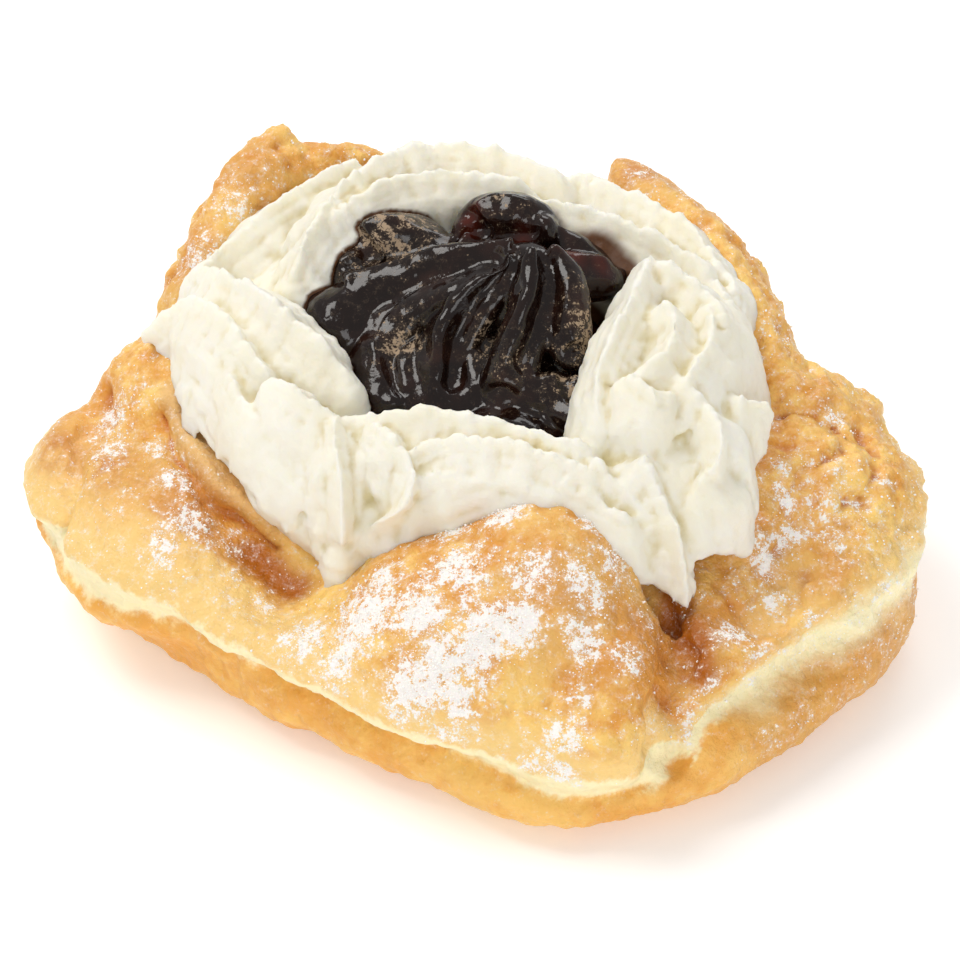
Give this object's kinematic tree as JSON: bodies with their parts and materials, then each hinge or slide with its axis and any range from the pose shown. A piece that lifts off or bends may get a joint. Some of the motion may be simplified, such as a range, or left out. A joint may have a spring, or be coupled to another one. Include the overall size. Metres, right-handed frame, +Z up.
{
  "type": "filled pastry star",
  "caption": "Golden fried pastry with puffed star petals and turned-up flaps, filled with a piped wreath of whipped cream and a dark jam rosette.",
  "frame": {"origin": "middle of the flat underside, at the surface that the pastry stands on", "axes": "+Z up; -Y towards the middle front petal; +X towards the right petal"},
  "size_m": [0.1175, 0.101, 0.0488],
  "materials": {
    "fried_dough": "golden fried dough, satin, slightly oily",
    "whipped_cream": "soft matte cream",
    "jam": "wet, glossy, near black"
  },
  "bodies": {
    "root": {"pastry_star": "fried_dough", "cream_wreath": "whipped_cream", "jam_rosette": "jam"}
  },
  "joints": []
}
